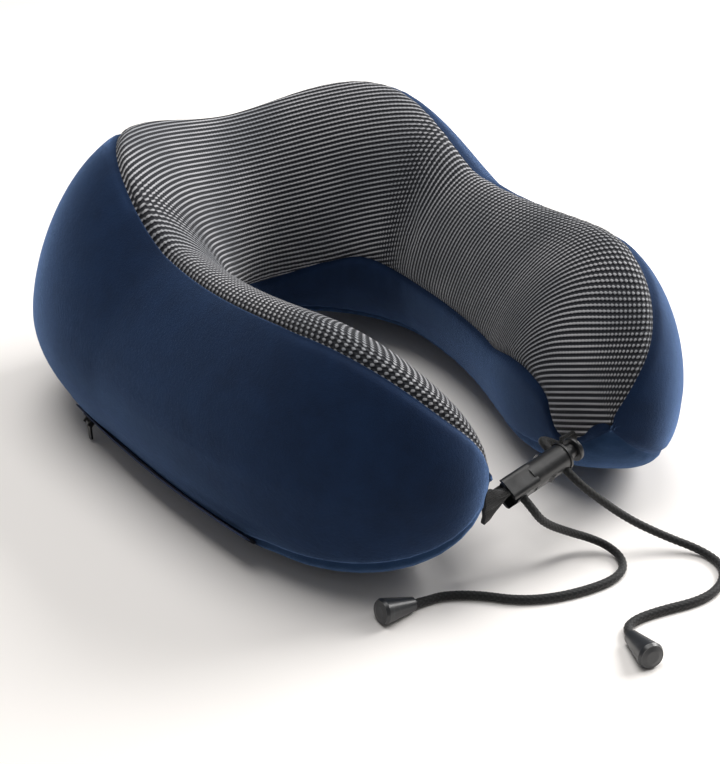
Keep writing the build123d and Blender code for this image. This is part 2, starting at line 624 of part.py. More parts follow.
def main():
    channel = zipper_channel()
    whole = body_solid(0.0)
    box = whole.bounding_box()
    shift = Pos(0, -(box.min.Y + box.max.Y) / 2, 0)
    pieces = {
        "foam_core": body_solid(BASE_SKIN + FOAM_GAP) - channel,
        "side_cover": panel(base_seam_outside, outer_seam, SKIN, 10) - channel,
        "mesh_panel": panel(outer_seam, inner_seam, SKIN, 10),
        "inner_band": panel(inner_seam, base_seam_inside, SKIN, 6),
        "base_panel": base_panel() - channel,
        "zipper_tape_upper": zipper_tape(1),
        "zipper_tape_lower": zipper_tape(-1),
        "zipper_teeth_upper": zipper_teeth(1),
        "zipper_teeth_lower": zipper_teeth(-1),
        "zipper_stops": zipper_stops(),
        "zipper_slider": zipper_slider(),
        "zipper_pull": zipper_pull(),
        "clasp_plug": clasp_plug(),
        "release_prong_front": release_prong(-1),
        "release_prong_back": release_prong(1),
        "clasp_socket": clasp_socket(),
        "lock_button": lock_button(),
        "lock_spring": lock_spring(),
        "tip_tab_left": tip_tab_left(whole),
    }
    pieces = {name: shift * shape for name, shape in pieces.items()}
    pieces["tip_tab_right"] = anchor_tab_right(shift * whole)
    for name, points in (("left", CORD_LEFT), ("right", CORD_RIGHT)):
        pieces["cord_" + name] = cord(points, "cord_" + name)
        pieces["cord_bell_" + name] = cord_bell(points)
        pieces["bell_plug_" + name] = bell_plug(points)
    print_joint_places(shift)
    os.makedirs("parts", exist_ok=True)
    for name, shape in pieces.items():
        export_step(shape, f"parts/{name}.step")


main()
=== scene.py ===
import json
import math

import bpy
import numpy as np
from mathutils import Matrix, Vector

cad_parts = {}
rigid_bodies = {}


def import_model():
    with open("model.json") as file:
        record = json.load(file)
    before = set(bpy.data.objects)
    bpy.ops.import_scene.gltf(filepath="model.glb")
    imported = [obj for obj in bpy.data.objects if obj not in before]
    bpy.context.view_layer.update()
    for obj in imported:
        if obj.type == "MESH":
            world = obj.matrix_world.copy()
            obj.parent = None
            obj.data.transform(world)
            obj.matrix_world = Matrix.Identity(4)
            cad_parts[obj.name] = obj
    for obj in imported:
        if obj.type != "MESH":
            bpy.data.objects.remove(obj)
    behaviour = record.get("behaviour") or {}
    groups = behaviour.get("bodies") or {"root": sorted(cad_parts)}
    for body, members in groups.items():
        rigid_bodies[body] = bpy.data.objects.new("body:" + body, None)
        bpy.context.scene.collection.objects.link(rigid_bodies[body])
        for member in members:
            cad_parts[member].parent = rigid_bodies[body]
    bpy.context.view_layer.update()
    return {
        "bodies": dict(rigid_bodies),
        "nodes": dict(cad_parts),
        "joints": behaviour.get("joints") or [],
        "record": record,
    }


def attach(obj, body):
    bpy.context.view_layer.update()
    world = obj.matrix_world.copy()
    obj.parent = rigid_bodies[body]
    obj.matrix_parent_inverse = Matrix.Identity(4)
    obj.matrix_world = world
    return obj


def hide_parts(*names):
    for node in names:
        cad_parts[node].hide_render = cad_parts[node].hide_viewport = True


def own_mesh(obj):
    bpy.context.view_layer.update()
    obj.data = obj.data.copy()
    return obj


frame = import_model()
RNG = np.random.default_rng(7)

# ---- camera ----
CAMERA_TURN = math.radians(-34.8)
CAMERA_RISE = math.radians(29.8)
CAMERA_DISTANCE = 0.695
CAMERA_TARGET = Vector((-0.0146, -0.0195, 0.033))
CAMERA_LENS = 63.85

# ---- the pillow's form: two half ellipses in plan and five sections, in metres ----
CENTRE_HALF_WIDTH = 0.096
CENTRE_BACK_DEPTH = 0.100
CENTRE_FRONT_DEPTH = 0.188
ARM_TURN = math.radians(158.0)
STATIONS = [0.0, 0.33, 0.59, 0.83, 1.0]
OUTER_THICKNESS = [0.028, 0.0645, 0.0445, 0.0445, 0.0465]
INNER_THICKNESS = [0.0355, 0.048, 0.0475, 0.0475, 0.0435]
CREST_HEIGHT = [0.1315, 0.1435, 0.1105, 0.119, 0.116]
UNDERSIDE_HEIGHT = [0.005, 0.002, -0.001, -0.001, -0.001]
CREST_LEAN = [0.006, 0.008, -0.0065, 0.007, 0.018]
BASE_SQUARENESS = [0.88, 0.96, 0.885, 0.61, 0.74]
INNER_SQUARENESS = 0.05
OUTER_SEAM_ANGLE = [52.5, 81.5, 76.0, 70.5, 64.0]
INNER_SEAM_ANGLE = [191.0, 172.0, 175.0, 176.0, 188.0]
WIDEST_HEIGHT = 0.052
CREST_ROUNDNESS = 1.29
TIP_START = 0.775
# how far each seam wanders round the tip, in degrees, against how far the tip has rounded off
TIP_SEAM_PLACES = [0.0, 14.0, 28.0, 40.0, 46.0, 52.0, 60.0, 70.0, 78.0, 84.0, 90.0]
OUTER_SEAM_SHIFT = [0.0, 2.0, 4.0, 5.0, 5.0, 6.0, 9.0, 17.0, 34.0, 58.0, 70.0]
INNER_SEAM_SHIFT = [0.0, -7.0, -11.0, -10.0, 0.0, 20.0, 21.0, 18.0, -10.0, -42.0, -60.0]
BASE_SEAM_HEIGHT = 0.014

# ---- sewing ----
COVER_THICKNESS = 0.001
START_INSET = 0.0016  # the sewn shell before it is filled
FILL_CAP = 0.0042  # how far the filling may push the cloth
FOAM_INSET = 0.0055
SEAM_DEPTH = 0.0016
SEAM_REACH = 0.0022
PUCKER_HEIGHT = 0.00028
PUCKER_LENGTH = 0.0085
ZIP_FROM = 0.47
ZIP_TO = 0.77
ZIP_BED_DEPTH = 0.0028
ZIP_SLOT = 0.0022  # half the open width over the coils
ZIP_FLAP_RISE = 0.0008
ZIP_FLAP_REACH = 0.0088
KNIT_ROW = 0.00265
KNIT_STITCH = 0.0021
ROW_TILT = 0.030
TIP_ROWS_FROM = 0.84
TIP_FALL = (-0.28, -0.41, -0.87)  # the rows of the tips lie across this direction

# ---- cords ----
CORD_DIAMETER = 0.004
CORD_LEFT = [
    (-0.0207, -0.1478, 0.0417),
    (-0.0191, -0.1572, 0.0362),
    (-0.0118, -0.1581, 0.025),
    (0.0065, -0.1578, 0.012),
    (0.0155, -0.1601, 0.007),
    (0.022, -0.1661, 0.0035),
    (0.0225, -0.1751, 0.002),
    (0.0165, -0.1826, 0.002),
    (0.0065, -0.1851, 0.002),
    (-0.009, -0.1831, 0.002),
    (-0.024, -0.1786, 0.002),
    (-0.037, -0.1711, 0.002),
    (-0.048, -0.1591, 0.002),
    (-0.0605, -0.1506, 0.002),
    (-0.07, -0.1491, 0.00217),
    (-0.0795, -0.1486, 0.00368),
]
CORD_RIGHT = [
    (0.0225, -0.1305, 0.0385),
    (0.0165, -0.1292, 0.0425),
    (0.0098, -0.131, 0.0468),
    (0.0045, -0.1364, 0.0504),
    (0.0075, -0.1549, 0.0398),
    (0.0153, -0.1606, 0.031),
    (0.031, -0.1686, 0.016),
    (0.045, -0.1796, 0.007),
    (0.0565, -0.1921, 0.002),
    (0.056, -0.2061, 0.002),
    (0.045, -0.2151, 0.002),
    (0.03, -0.2176, 0.002),
    (0.008, -0.2116, 0.002),
    (-0.005, -0.2101, 0.002),
    (-0.013, -0.2136, 0.00244),
    (-0.015, -0.2211, 0.00368),
]
LEFT_EXIT = (-0.0199, -0.1525, 0.039)
RIGHT_EXIT = (0.0225, -0.1305, 0.0385)


# ---- small helpers ----
def deselect_all():
    if bpy.context.mode != "OBJECT":
        bpy.ops.object.mode_set(mode="OBJECT")
    bpy.ops.object.select_all(action="DESELECT")


def pick(piece):
    deselect_all()
    piece.select_set(True)
    bpy.context.view_layer.objects.active = piece


def apply_modifiers(piece):
    pick(piece)
    for modifier in list(piece.modifiers):
        bpy.ops.object.modifier_apply(modifier=modifier.name)


def apply_place(piece):
    pick(piece)
    bpy.ops.object.transform_apply(location=True, rotation=True, scale=True)


def mesh_piece(name, points, faces, smooth=True):
    mesh = bpy.data.meshes.new(name)
    mesh.from_pydata([tuple(p) for p in points], [], faces)
    mesh.update()
    piece = bpy.data.objects.new(name, mesh)
    bpy.context.scene.collection.objects.link(piece)
    if smooth:
        mesh.shade_smooth()
    return piece


def points_of(piece):
    flat = np.empty(len(piece.data.vertices) * 3)
    piece.data.vertices.foreach_get("co", flat)
    return flat.reshape(-1, 3)


def set_points(piece, points):
    piece.data.vertices.foreach_set("co", np.asarray(points, float).ravel())
    piece.data.update()


# ---- shader expressions ----
class Wire:
    """A socket that adds Math nodes when it is used in an expression."""

    def __init__(self, nodes, socket):
        self.nodes = nodes
        self.socket = socket

    def math(self, operation, *others):
        node = self.nodes.tree.nodes.new("ShaderNodeMath")
        node.operation = operation
        for slot, value in zip(node.inputs, (self, *others)):
            self.nodes.feed(slot, value)
        return Wire(self.nodes, node.outputs[0])

    def __add__(self, other):
        return self.math("ADD", other)

    def __radd__(self, other):
        return self.math("ADD", other)

    def __sub__(self, other):
        return self.math("SUBTRACT", other)

    def __rsub__(self, other):
        return (self * -1.0) + other

    def __mul__(self, other):
        return self.math("MULTIPLY", other)

    def __rmul__(self, other):
        return self.math("MULTIPLY", other)

    def __truediv__(self, other):
        return self.math("DIVIDE", other)

    def __pow__(self, other):
        return self.math("POWER", other)

    def cos(self):
        return self.math("COSINE")

    def abs(self):
        return self.math("ABSOLUTE")

    def at_most(self, other):
        return self.math("MINIMUM", other)

    def at_least(self, other):
        return self.math("MAXIMUM", other)

    def ramp(self, low, high):
        """0 below low, 1 above high, smooth between."""
        node = self.nodes.tree.nodes.new("ShaderNodeMapRange")
        node.interpolation_type = "SMOOTHSTEP"
        self.nodes.feed(node.inputs["Value"], self)
        node.inputs["From Min"].default_value = low
        node.inputs["From Max"].default_value = high
        return Wire(self.nodes, node.outputs[0])


class Finish:
    """A material and the nodes that it is built from."""

    def __init__(self, name, roughness=0.5, **sockets):
        self.material = bpy.data.materials.new(name)
        self.material.use_nodes = True
        self.tree = self.material.node_tree
        self.shader = self.tree.nodes["Principled BSDF"]
        self.shader.inputs["Roughness"].default_value = roughness
        for socket, value in sockets.items():
            self.shader.inputs[socket.replace("_", " ")].default_value = value

    def feed(self, slot, value):
        if isinstance(value, Wire):
            self.tree.links.new(value.socket, slot)
        else:
            slot.default_value = value

    def node(self, kind, settings=None, output=0, **values):
        node = self.tree.nodes.new(kind)
        for key, value in (settings or {}).items():
            setattr(node, key, value)
        for slot, value in values.items():
            self.feed(node.inputs[slot.replace("_", " ")], value)
        return Wire(self, node.outputs[output])

    def place(self):
        return self.node("ShaderNodeTexCoord", output="Object")

    def map(self, name):
        return self.node("ShaderNodeUVMap", {"uv_map": name})

    def parts(self, vector):
        node = self.tree.nodes.new("ShaderNodeSeparateXYZ")
        self.feed(node.inputs[0], vector)
        return [Wire(self, socket) for socket in node.outputs]

    def noise(self, vector, scale, detail=2.0, roughness=0.5):
        return self.node("ShaderNodeTexNoise", Vector=vector, Scale=scale, Detail=detail, Roughness=roughness)

    def blend(self, share, first, second):
        node = self.tree.nodes.new("ShaderNodeMix")
        node.data_type = "RGBA"
        self.feed(node.inputs[0], share)
        self.feed(node.inputs[6], first)
        self.feed(node.inputs[7], second)
        return Wire(self, node.outputs[2])

    def set(self, socket, value):
        self.feed(self.shader.inputs[socket], value)

    def relief(self, height, distance, strength=1.0):
        bump = self.node("ShaderNodeBump", Height=height, Distance=distance, Strength=strength)
        self.set("Normal", bump)


def paint(piece, finish):
    piece.data.materials.clear()
    piece.data.materials.append(finish.material)


# ---- materials ----
def velour(name, deep, light, sheen):
    """Short-pile velour: brushed patches, fine pile and a soft pale rim."""
    cloth = Finish(name, 0.82, Sheen_Weight=sheen, Sheen_Roughness=0.38, Specular_IOR_Level=0.12)
    cloth.shader.inputs["Sheen Tint"].default_value = (0.30, 0.50, 0.95, 1)
    place = cloth.place()
    patches = cloth.noise(place, 26.0, 4.0, 0.62)
    brushed = cloth.noise(place, 90.0, 3.0, 0.6)
    pile = cloth.noise(place, 2600.0, 2.0, 0.7)
    clump = cloth.noise(place, 700.0, 2.0, 0.6)
    share = (patches * 0.4 + brushed * 0.2 + pile * 0.4).ramp(0.25, 0.75)
    cloth.set("Base Color", cloth.blend(share, (*deep, 1), (*light, 1)))
    cloth.set("Roughness", 0.74 + 0.2 * pile)
    cloth.relief(pile * 0.55 + clump * 0.45, 0.0006, 0.55)
    return cloth


def knit():
    """Rib knit: pale rows on a dark ground, their loops broken into dots where it is stretched."""
    cloth = Finish("striped_knit", 0.7, Sheen_Weight=0.12, Sheen_Roughness=0.5, Specular_IOR_Level=0.2)
    across, down, _ = cloth.parts(cloth.map("knit"))
    place = cloth.place()
    wander = cloth.noise(place, 40.0, 2.0) - 0.5
    turn = 2 * math.pi
    over_arm, down_arm, _ = cloth.parts(cloth.map("arm"))
    fraction, toward_tip, _ = cloth.parts(cloth.map("zone"))
    on_arm = toward_tip.ramp(0.36, 0.56)
    back_row = (down * (turn / KNIT_ROW) + wander * 0.9).cos()
    arm_row = (down_arm * (turn / KNIT_ROW) + wander * 0.9).cos()
    row = back_row * (1.0 - on_arm) + arm_row * on_arm
    back_stitch = (across * (turn / KNIT_STITCH) + back_row * 0.35).cos()
    arm_stitch = (over_arm * (turn / KNIT_STITCH) + arm_row * 0.35).cos()
    stitch = back_stitch * (1.0 - on_arm) + arm_stitch * on_arm
    stretched = toward_tip.ramp(0.45, 0.75) * (1.0 - fraction.ramp(0.25, 0.62))
    loop = stitch * (0.16 + stretched * 0.56)
    body = row * 0.5 + 0.5 + loop * 0.5 - stretched * 0.10
    fibre = cloth.noise(place, 1900.0, 2.0, 0.7)
    pale = (body + (fibre - 0.5) * 0.22).ramp(0.50, 0.90)
    tone = cloth.noise(place, 22.0, 3.0)
    white = cloth.blend(tone.ramp(0.3, 0.7), (0.25, 0.26, 0.28, 1), (0.42, 0.42, 0.44, 1))
    dark = cloth.blend(fibre.ramp(0.3, 0.7), (0.003, 0.004, 0.007, 1), (0.011, 0.013, 0.019, 1))
    cloth.set("Base Color", cloth.blend(pale, dark, white))
    cloth.set("Roughness", 0.62 + 0.25 * fibre)
    cloth.relief(body * 0.85 + fibre * 0.15, 0.0009, 0.8)
    return cloth


def braid():
    """Black braided cord, its strands slightly worn on their crowns."""
    cloth = Finish("black_braid", 0.6, Specular_IOR_Level=0.35, Sheen_Weight=0.15, Sheen_Roughness=0.5)
    round_way, along_way, crown = cloth.parts(cloth.map_crown())
    place = cloth.place()
    fibre = cloth.noise(place, 2400.0, 3.0, 0.7)
    worn = (crown + (fibre - 0.5) * 0.6).ramp(0.45, 1.05)
    cloth.set("Base Color", cloth.blend(worn, (0.0025, 0.003, 0.0035, 1), (0.016, 0.017, 0.019, 1)))
    cloth.set("Roughness", 0.52 + 0.3 * fibre)
    cloth.relief(fibre, 0.0002, 0.5)
    return cloth


def webbing(name, deep, light):
    """Narrow woven tape: small ribs both ways."""
    cloth = Finish(name, 0.75, Specular_IOR_Level=0.25, Sheen_Weight=0.2, Sheen_Roughness=0.5)
    place = cloth.place()
    x, y, z = cloth.parts(place)
    turn = 2 * math.pi
    warp = ((x + y) * (turn / 0.0011)).cos()
    weft = (z * (turn / 0.0009)).cos()
    weave = warp * weft * 0.5 + 0.5
    fibre = cloth.noise(place, 2200.0, 2.0)
    share = (weave * 0.7 + fibre * 0.3).ramp(0.25, 0.8)
    cloth.set("Base Color", cloth.blend(share, (*deep, 1), (*light, 1)))
    cloth.set("Roughness", 0.62 + 0.25 * fibre)
    cloth.relief(weave * 0.8 + fibre * 0.2, 0.0004, 0.7)
    return cloth


def moulded(name, shade, roughness, coat, grain=0.00004):
    """Satin moulded plastic with a fine grain, faint scuffs and uneven gloss."""
    plastic = Finish(name, roughness, Coat_Weight=coat, Coat_Roughness=0.25, Specular_IOR_Level=0.5)
    place = plastic.place()
    speckle = plastic.noise(place, 3000.0, 2.0, 0.6)
    haze = plastic.noise(place, 160.0, 4.0, 0.6)
    scuff = plastic.node("ShaderNodeTexWave", {"wave_type": "BANDS"}, "Fac", Vector=place, Scale=60.0, Distortion=14.0, Detail=4.0)
    worn = (scuff * haze).ramp(0.42, 0.75)
    pale = tuple(min(1.0, c * 2.4 + 0.006) for c in shade)
    plastic.set("Base Color", plastic.blend(worn * 0.5 + speckle * 0.15, (*shade, 1), (*pale, 1)))
    plastic.set("Roughness", (haze * 0.3 + worn * 0.12 + (roughness - 0.15)).at_most(0.9))
    plastic.relief(speckle * 0.7 + haze * 0.3, grain, 0.6)
    return plastic


def lacquered_metal():
    metal = Finish("dark_lacquer", 0.32, Metallic=0.85, Coat_Weight=0.4, Coat_Roughness=0.2)
    place = metal.place()
    haze = metal.noise(place, 400.0, 4.0, 0.6)
    worn = haze.ramp(0.58, 0.75)
    metal.set("Base Color", metal.blend(worn, (0.022, 0.022, 0.024, 1), (0.12, 0.115, 0.11, 1)))
    metal.set("Roughness", 0.22 + 0.3 * haze)
    metal.relief(haze, 0.00005, 0.5)
    return metal


def spring_steel():
    steel = Finish("spring_steel", 0.3, Metallic=1.0)
    haze = steel.noise(steel.place(), 900.0, 3.0)
    steel.set("Base Color", steel.blend(haze, (0.45, 0.46, 0.48, 1), (0.68, 0.69, 0.70, 1)))
    steel.set("Roughness", 0.2 + 0.3 * haze)
    return steel


def open_cell_foam():
    foam = Finish("cream_foam", 0.9)
    cells = foam.node("ShaderNodeTexVoronoi", output="Distance", Vector=foam.place(), Scale=900.0)
    foam.set("Base Color", foam.blend(cells, (0.70, 0.62, 0.42, 1), (0.86, 0.80, 0.62, 1)))
    foam.relief(cells, 0.0006, 0.8)
    return foam


def crown_map(self):
    """The cord's own map, with the height of its strands as the third number."""
    u_v = self.map("cord")
    around, run, _ = self.parts(u_v)
    turn = 2 * math.pi
    first = (around * (turn * 3) + run * (turn / 0.0052)).cos().abs()
    second = (around * (turn * 3) - run * (turn / 0.0052)).cos().abs()
    node = self.node("ShaderNodeCombineXYZ", X=around, Y=run, Z=first * second)
    return node


Finish.map_crown = crown_map


# ---- the pillow's surface ----
def along(share, values):
    """Smooth values at the shares, level at the middle of the back."""
    share = np.asarray(share, float)
    stations = np.array(STATIONS)
    values = np.array(values, float)
    gaps = np.diff(stations)
    rises = np.diff(values) / gaps
    slopes = np.zeros(len(values))
    slopes[1:-1] = (rises[:-1] * gaps[1:] + rises[1:] * gaps[:-1]) / (gaps[:-1] + gaps[1:])
    slopes[-1] = rises[-1]
    i = np.clip(np.searchsorted(stations, share, side="right") - 1, 0, len(gaps) - 1)
    gap = gaps[i]
    u = (share - stations[i]) / gap
    first = (2 * u**3 - 3 * u**2 + 1) * values[i] + (u**3 - 2 * u**2 + u) * gap * slopes[i]
    second = (3 * u**2 - 2 * u**3) * values[i + 1] + (u**3 - u**2) * gap * slopes[i + 1]
    return first + second


def tip_scale(share):
    t = np.clip((share - TIP_START) / (1 - TIP_START), 0, 1)
    return np.sqrt(1 - t * t)


def centre_and_normal(share, side):
    turn = ARM_TURN * share
    depth = np.where(np.cos(turn) > 0, CENTRE_BACK_DEPTH, CENTRE_FRONT_DEPTH)
    centre = np.stack([side * CENTRE_HALF_WIDTH * np.sin(turn), depth * np.cos(turn)], -1)
    normal = np.stack([side * depth * np.sin(turn), CENTRE_HALF_WIDTH * np.cos(turn)], -1)
    return centre, normal / np.linalg.norm(normal, axis=-1, keepdims=True)


def signed_power(value, power):
    return np.sign(value) * np.abs(value) ** power


def skin(share, side, degrees, inset=0.0):
    """Points of the skin: 0 degrees is outward, 90 the crest, 180 inward, 270 the underside."""
    scale = tip_scale(share)
    c = np.cos(np.radians(degrees))
    k = np.sin(np.radians(degrees))
    half = np.where(c > 0, along(share, OUTER_THICKNESS), along(share, INNER_THICKNESS)) * scale - inset
    up = (along(share, CREST_HEIGHT) - WIDEST_HEIGHT) * scale - inset
    down = (WIDEST_HEIGHT - along(share, UNDERSIDE_HEIGHT)) * scale - inset
    height = np.abs(k) ** CREST_ROUNDNESS
    lean = along(share, CREST_LEAN) * scale * height**1.5
    power = along(share, BASE_SQUARENESS) + np.where(c > 0, 0.0, INNER_SQUARENESS)
    across = np.where(k > 0, half * signed_power(c, CREST_ROUNDNESS) + lean, half * signed_power(c, power))
    rise = np.where(k > 0, up * height, -down * np.abs(k) ** power)
    centre, normal = centre_and_normal(share, side)
    flat = centre + normal * across[..., None]
    return np.concatenate([flat, (WIDEST_HEIGHT + rise)[..., None]], -1)


def base_seam_angle(share, power):
    part = (WIDEST_HEIGHT - BASE_SEAM_HEIGHT) / (WIDEST_HEIGHT - along(share, UNDERSIDE_HEIGHT))
    return np.degrees(np.arcsin(part ** (1 / power)))


def seam_angles(share):
    """The four seams round a section, from the outer base seam and back to it."""
    square = along(share, BASE_SQUARENESS)
    outside = -base_seam_angle(share, square)
    inside = 180 + base_seam_angle(share, square + INNER_SQUARENESS)
    rounding = np.degrees(np.arcsin(np.clip((share - TIP_START) / (1 - TIP_START), 0, 1)))
    outer = along(share, OUTER_SEAM_ANGLE) + np.interp(rounding, TIP_SEAM_PLACES, OUTER_SEAM_SHIFT)
    inner = along(share, INNER_SEAM_ANGLE) + np.interp(rounding, TIP_SEAM_PLACES, INNER_SEAM_SHIFT)
    return [outside, outer, inner, inside, outside + 360]


ARM_RINGS = 38
TIP_RINGS = 15
LAST_TIP_ANGLE = 88.3
PANEL_STEPS = {"side": 20, "knit": 24, "band": 8, "base": 16}


def ring_shares():
    arm = np.linspace(0, TIP_START, ARM_RINGS, endpoint=False)
    tip = TIP_START + (1 - TIP_START) * np.sin(np.radians(np.linspace(0, LAST_TIP_ANGLE, TIP_RINGS)))
    one = np.concatenate([arm, tip])
    share = np.concatenate([one[::-1], one[1:]])
    side = np.concatenate([-np.ones(len(one)), np.ones(len(one) - 1)])
    return share, side


def section_degrees(share):
    seams = seam_angles(share)
    columns = []
    for (name, steps), low, high in zip(PANEL_STEPS.items(), seams, seams[1:]):
        for i in range(steps):
            columns.append(low + (high - low) * i / steps)
    return np.stack(columns, -1)


RING_SHARE, RING_SIDE = ring_shares()
RING_DEGREES = section_degrees(RING_SHARE)
COLUMN_STARTS = np.cumsum([0] + list(PANEL_STEPS.values()))


def whole_skin(inset):
    share = np.repeat(RING_SHARE[:, None], RING_DEGREES.shape[1], 1)
    side = np.repeat(RING_SIDE[:, None], RING_DEGREES.shape[1], 1)
    return skin(share, side, RING_DEGREES, inset)


FORM = whole_skin(0.0)
Y_SHIFT = -(FORM[..., 1].min() + FORM[..., 1].max()) / 2


def fill_the_cover():
    """The sewn shell, a little small, blown up between its pinned seams by cloth simulation."""
    start = whole_skin(START_INSET)
    start[..., 1] += Y_SHIFT
    rings, columns = start.shape[:2]
    faces = []
    for i in range(rings - 1):
        for j in range(columns):
            k = (j + 1) % columns
            faces.append((i * columns + j, i * columns + k, (i + 1) * columns + k, (i + 1) * columns + j))
    faces.append(tuple(range(columns))[::-1])
    faces.append(tuple((rings - 1) * columns + j for j in range(columns)))
    shell = mesh_piece("filled_shell", start.reshape(-1, 3), faces)
    seams = shell.vertex_groups.new(name="seams")
    for i in range(rings):
        held = [int(i * columns + j) for j in COLUMN_STARTS[:-1]]
        seams.add(held, 1.0, "REPLACE")
    ends = list(range(columns)) + [(rings - 1) * columns + j for j in range(columns)]
    seams.add(ends, 1.0, "REPLACE")
    filled = start
    cloth = shell.modifiers.new("Cloth", "CLOTH")
    cloth.settings.quality = 5
    cloth.settings.mass = 0.15
    cloth.settings.tension_stiffness = 12
    cloth.settings.compression_stiffness = 12
    cloth.settings.shear_stiffness = 6
    cloth.settings.bending_stiffness = 1.0
    cloth.settings.use_pressure = True
    cloth.settings.uniform_pressure_force = 4.0
    cloth.settings.vertex_group_mass = "seams"
    cloth.settings.effector_weights.gravity = 0.0
    cloth.point_cache.frame_start = 1
    cloth.point_cache.frame_end = 20
    for step in range(1, 21):
        bpy.context.scene.frame_set(step)
    solved = shell.evaluated_get(bpy.context.evaluated_depsgraph_get())
    flat = np.empty(len(solved.data.vertices) * 3)
    solved.data.vertices.foreach_get("co", flat)
    moved = flat.reshape(start.shape) - start
    size = np.linalg.norm(moved, axis=-1, keepdims=True)
    filled = start + moved * np.minimum(1.0, FILL_CAP / np.maximum(size, 1e-9))
    bpy.context.scene.frame_set(1)
    bpy.data.objects.remove(shell, do_unlink=True)
    return filled


def foam_block():
    """The moulded foam inside, a little clear of the cloth."""
    points = whole_skin(FOAM_INSET)[4:-4]
    points[..., 1] += Y_SHIFT
    rings, columns = points.shape[:2]
    faces = []
    for i in range(rings - 1):
        for j in range(columns):
            k = (j + 1) % columns
            faces.append((i * columns + j, i * columns + k, (i + 1) * columns + k, (i + 1) * columns + j))
    faces.append(tuple(range(columns))[::-1])
    faces.append(tuple((rings - 1) * columns + j for j in range(columns)))
    block = mesh_piece("foam_block", points.reshape(-1, 3), faces)
    fix_normals(block)
    return block


def catmull(values, where):
    """Smooth values between the rows of an array, at fractional rows."""
    last = len(values) - 1
    i = np.clip(np.floor(where).astype(int), 0, last - 1)
    u = (where - i)[:, None, None]
    before = values[np.maximum(i - 1, 0)]
    first = values[i]
    second = values[i + 1]
    after = values[np.minimum(i + 2, last)]
    return 0.5 * (
        2 * first + (second - before) * u + (2 * before - 5 * first + 4 * second - after) * u**2
        + (3 * first - before - 3 * second + after) * u**3
    )


def unit(vectors):
    return vectors / np.maximum(np.linalg.norm(vectors, axis=-1, keepdims=True), 1e-12)


def surface_normals(points):
    """Outward normals of the whole closed cover."""
    down = np.gradient(points, axis=0)
    over = np.roll(points, -1, axis=1) - np.roll(points, 1, axis=1)
    normal = unit(np.cross(over, down))
    middle = points.mean(axis=1, keepdims=True)
    return normal * np.sign(np.mean(np.sum(normal * (points - middle), -1)))


def smooth_step(value, low, high):
    t = np.clip((value - low) / (high - low), 0, 1)
    return t * t * (3 - 2 * t)


SOFT_WAVES = [
    (RNG.normal(size=3) * 26.0, RNG.uniform(0, 2 * math.pi), RNG.uniform(0.6, 1.0)) for _ in range(9)
]


def soft_waves(points):
    """Slow unevenness of stuffed cloth, between about -1 and 1."""
    total = np.zeros(points.shape[:-1])
    for direction, phase, size in SOFT_WAVES:
        total += size * np.sin(points @ direction + phase)
    return total / 4.0


EDGE_SHARES = [0.0, 0.012, 0.026, 0.045, 0.07, 0.1]


def panel_columns(steps):
    middle = np.linspace(EDGE_SHARES[-1], 1 - EDGE_SHARES[-1], steps * 2)[1:-1]
    return np.concatenate([EDGE_SHARES, middle, 1 - np.array(EDGE_SHARES[::-1])]) * steps


